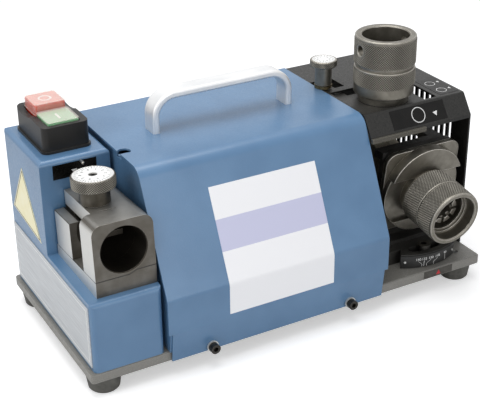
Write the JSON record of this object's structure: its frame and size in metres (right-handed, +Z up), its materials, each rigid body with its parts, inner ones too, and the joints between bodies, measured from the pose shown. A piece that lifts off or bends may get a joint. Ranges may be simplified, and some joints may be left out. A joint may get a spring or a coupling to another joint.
{
  "type": "drill bit sharpener",
  "caption": "Bench drill bit sharpener with a web-setting station, covered motor, guarded grinding wheel and two collet chuck ports, one on a swivel.",
  "frame": {"origin": "middle of the whole box in X and Y, at the undersides of the rubber feet", "axes": "+X along the machine from the switch to the wheel guard, +Y to the back, +Z up"},
  "size_m": [0.45, 0.2455, 0.2651],
  "materials": {
    "cast_base": "grey hammered enamel on a machined plate",
    "rubber": "moulded black rubber",
    "zinc": "zinc-plated",
    "dark_screw": "blackened",
    "steel": "ground steel",
    "chuck_steel": "fine turned, dull nickel grey",
    "blue_paint": "fine-textured powder coat",
    "black_paint": "black wrinkle enamel",
    "motor_paint": "grey enamel",
    "plate_metal": "bare satin sheet",
    "satin_aluminium": "satin",
    "brass": "turned",
    "black_plastic": "moulded",
    "white_plastic": "moulded",
    "dial_face": "printed disc",
    "red_plastic": "moulded",
    "green_plastic": "moulded",
    "abrasive": "abrasive-coated steel body"
  },
  "bodies": {
    "frame": {"base_plate": "cast_base", "rubber_feet": "rubber", "foot_screws": "zinc", "left_housing": "blue_paint", "data_plate": "plate_metal", "pointer_pin": "steel", "run_capacitor": "white_plastic", "mains_gland": "black_plastic", "switch_frame": "black_plastic", "switch_body": "black_plastic", "stop_spring": "steel", "start_spring": "steel", "wedge_base": "chuck_steel", "setting_block": "chuck_steel", "side_jaw": "chuck_steel", "station_screws": "zinc", "main_cover": "blue_paint", "cover_screws": "zinc", "cover_washers": "zinc", "carry_handle": "satin_aluminium", "handle_screws": "zinc", "bulkhead_left": "blue_paint", "bulkhead_right": "black_paint", "wheel_guard": "black_paint", "guard_lip": "black_paint", "guard_screws": "zinc", "top_port_plate": "black_paint", "port_plate_screws": "zinc", "adjust_collar": "brass", "pivot_bolt": "zinc", "lock_screw": "dark_screw", "motor_body": "motor_paint", "end_bells": "satin_aluminium", "motor_foot": "motor_paint", "motor_screws": "zinc", "ball_bearings": "steel"},
    "stop_button": {"stop_button": "red_plastic"},
    "start_button": {"start_button": "green_plastic"},
    "web_dial": {"web_dial": "chuck_steel", "web_dial_face": "dial_face", "dial_screw": "zinc"},
    "web_stop": {"web_stop": "steel"},
    "adjust_knob": {"adjust_knob": "chuck_steel", "adjust_knob_face": "dial_face"},
    "top_chuck": {"top_chuck_body": "chuck_steel"},
    "top_ring": {"top_chuck_ring": "chuck_steel"},
    "top_collet": {"top_collet": "steel"},
    "swivel": {"swivel_bracket": "black_paint", "angle_scale": "black_plastic", "scale_screws": "zinc", "port_plate": "chuck_steel"},
    "front_chuck": {"chuck_body": "chuck_steel", "cam_flange": "chuck_steel"},
    "front_sleeve": {"chuck_sleeve": "chuck_steel"},
    "front_draw": {"draw_tube": "steel", "front_collet": "steel"},
    "spindle": {"rotor_and_shaft": "steel", "wheel_hub": "steel", "grinding_wheel": "abrasive", "wheel_nut": "zinc"}
  },
  "joints": [
    {"name": "spindle_spin", "type": "hinge", "parent": "frame", "child": "spindle", "pos_m": [0.16, 0.01148, 0.1085], "axis": [1, 0, 0], "continuous": true},
    {"name": "angle_swivel", "type": "hinge", "parent": "frame", "child": "swivel", "pos_m": [0.169, -0.02452, 0.0275], "axis": [0, 0, 1], "range_deg": [-14, 11]},
    {"name": "front_chuck_turn", "type": "hinge", "parent": "swivel", "child": "front_chuck", "pos_m": [0.169, -0.05423, 0.10432], "axis": [0, -0.9903, -0.1392], "continuous": true},
    {"name": "front_sleeve_turn", "type": "hinge", "parent": "front_chuck", "child": "front_sleeve", "pos_m": [0.169, -0.10374, 0.09737], "axis": [0, -0.9903, -0.1392], "range_deg": [0, 360]},
    {"name": "front_draw_slide", "type": "slide", "parent": "front_chuck", "child": "front_draw", "axis": [0, 0.9903, 0.1392], "range_m": [0, 0.0015]},
    {"name": "top_chuck_lift", "type": "slide", "parent": "frame", "child": "top_chuck", "axis": [0, 0, 1], "range_m": [0, 0.06]},
    {"name": "top_ring_turn", "type": "hinge", "parent": "top_chuck", "child": "top_ring", "pos_m": [0.1493, -0.01252, 0.2454], "axis": [0, 0, 1], "range_deg": [0, 360]},
    {"name": "top_draw_slide", "type": "slide", "parent": "top_chuck", "child": "top_collet", "axis": [0, 0, -1], "range_m": [0, 0.0015]},
    {"name": "web_dial_turn", "type": "hinge", "parent": "frame", "child": "web_dial", "pos_m": [-0.1844, -0.03315, 0.17375], "axis": [0, 0.0523, 0.9986], "range_deg": [-180, 180]},
    {"name": "web_stop_slide", "type": "slide", "parent": "frame", "child": "web_stop", "axis": [0, 0.0523, 0.9986], "range_m": [-0.001, 0.001]},
    {"name": "adjust_knob_turn", "type": "hinge", "parent": "frame", "child": "adjust_knob", "pos_m": [0.1055, 0.03478, 0.2154], "axis": [0, 0, 1], "range_deg": [-150, 150]},
    {"name": "stop_button_press", "type": "slide", "parent": "frame", "child": "stop_button", "axis": [0, 0, -1], "range_m": [0, 0.003], "stiffness_N_per_m": 500, "springref_m": -0.002, "deforming": ["stop_spring"]},
    {"name": "start_button_press", "type": "slide", "parent": "frame", "child": "start_button", "axis": [0, 0, -1], "range_m": [0, 0.003], "stiffness_N_per_m": 500, "springref_m": -0.002, "deforming": ["start_spring"]}
  ],
  "couplings": [
    {"joint": "web_stop_slide", "follows": "web_dial_turn", "m_per_rad": -0.00031831},
    {"joint": "front_draw_slide", "follows": "front_sleeve_turn", "m_per_rad": 0.00023873},
    {"joint": "top_draw_slide", "follows": "top_ring_turn", "m_per_rad": 0.00023873}
  ]
}
